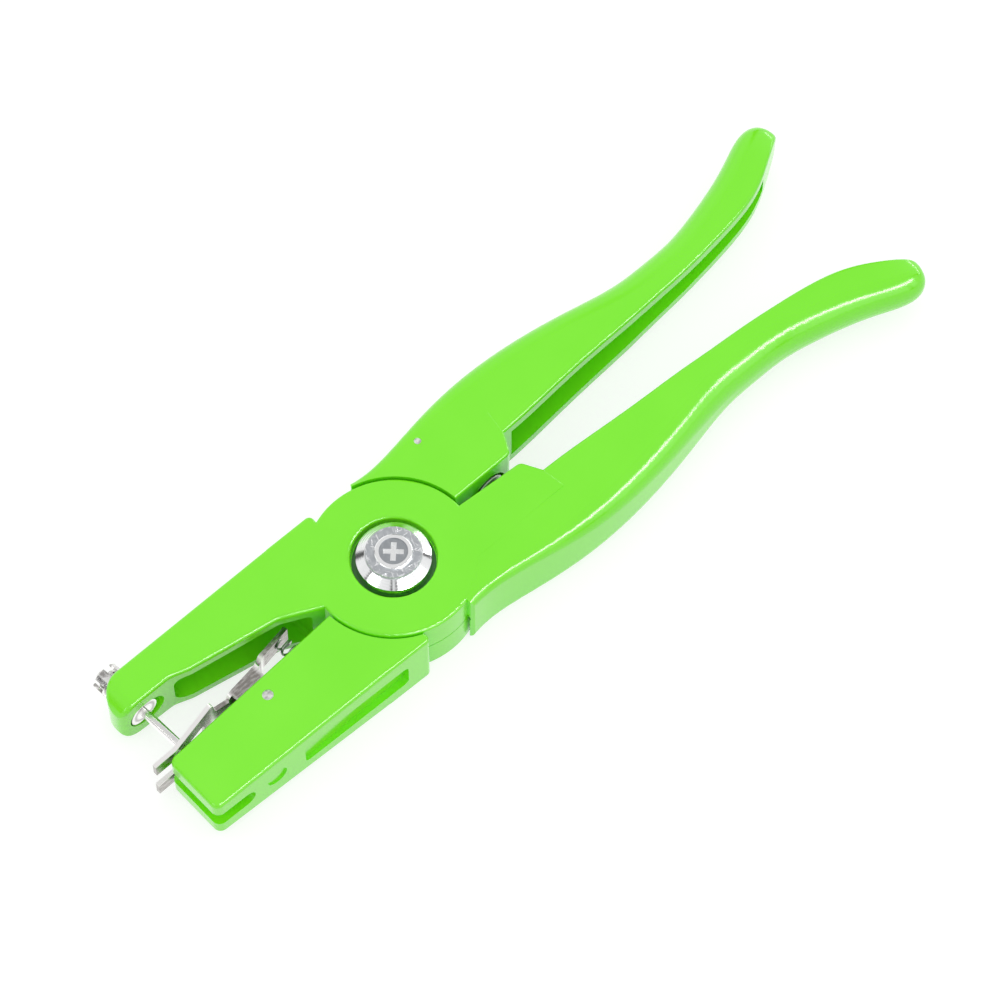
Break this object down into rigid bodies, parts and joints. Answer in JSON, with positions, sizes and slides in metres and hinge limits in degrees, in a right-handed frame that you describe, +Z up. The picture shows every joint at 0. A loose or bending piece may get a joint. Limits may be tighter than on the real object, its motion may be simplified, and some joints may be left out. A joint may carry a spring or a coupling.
{
  "type": "ear tag applicator",
  "caption": "Hand pliers whose needle pushes the stud of a livestock ear tag through the ear into a forked jaw with a sprung clip.",
  "frame": {"origin": "on the pivot axis, in the flat underside", "axes": "+X from the pivot to the jaws, +Z up along the pivot, out of the face with the screw"},
  "size_m": [0.2405, 0.0658, 0.0233],
  "materials": {
    "green_paint": "glossy lime green coat on cast aluminium",
    "turned_steel": "turned, bare",
    "bright_chrome": "bright plated",
    "zinc_steel": "zinc plated, finely scratched",
    "spring_steel": "drawn wire",
    "polished_steel": "ground and polished",
    "clip_steel": "pressed sheet, bright on the bends"
  },
  "bodies": {
    "clip_side": {"clip_lever": "green_paint", "pivot_barrel": "turned_steel", "pivot_cap": "bright_chrome", "pivot_washer": "zinc_steel", "pivot_screw": "bright_chrome", "return_spring": "spring_steel", "stop_pin": "turned_steel", "clip_pin": "turned_steel", "clip_spring": "spring_steel"},
    "needle_side": {"pin_lever": "green_paint", "applicator_needle": "polished_steel", "needle_nut": "bright_chrome"},
    "clip": {"jaw_clip": "clip_steel"}
  },
  "joints": [
    {"name": "handle_pivot", "type": "hinge", "parent": "clip_side", "child": "needle_side", "pos_m": [0, 0, 0.01], "axis": [0, 0, 1], "range_deg": [-28, 4.5], "stiffness_Nm_per_rad": 0.25, "springref_deg": -31.51, "deforming": ["return_spring"]},
    {"name": "clip_pivot", "type": "hinge", "parent": "clip_side", "child": "clip", "pos_m": [0.048, 0.0066, 0.01], "axis": [0, 0, 1], "range_deg": [-10, 0], "stiffness_Nm_per_rad": 0.21, "springref_deg": 18.91, "deforming": ["clip_spring"]}
  ]
}
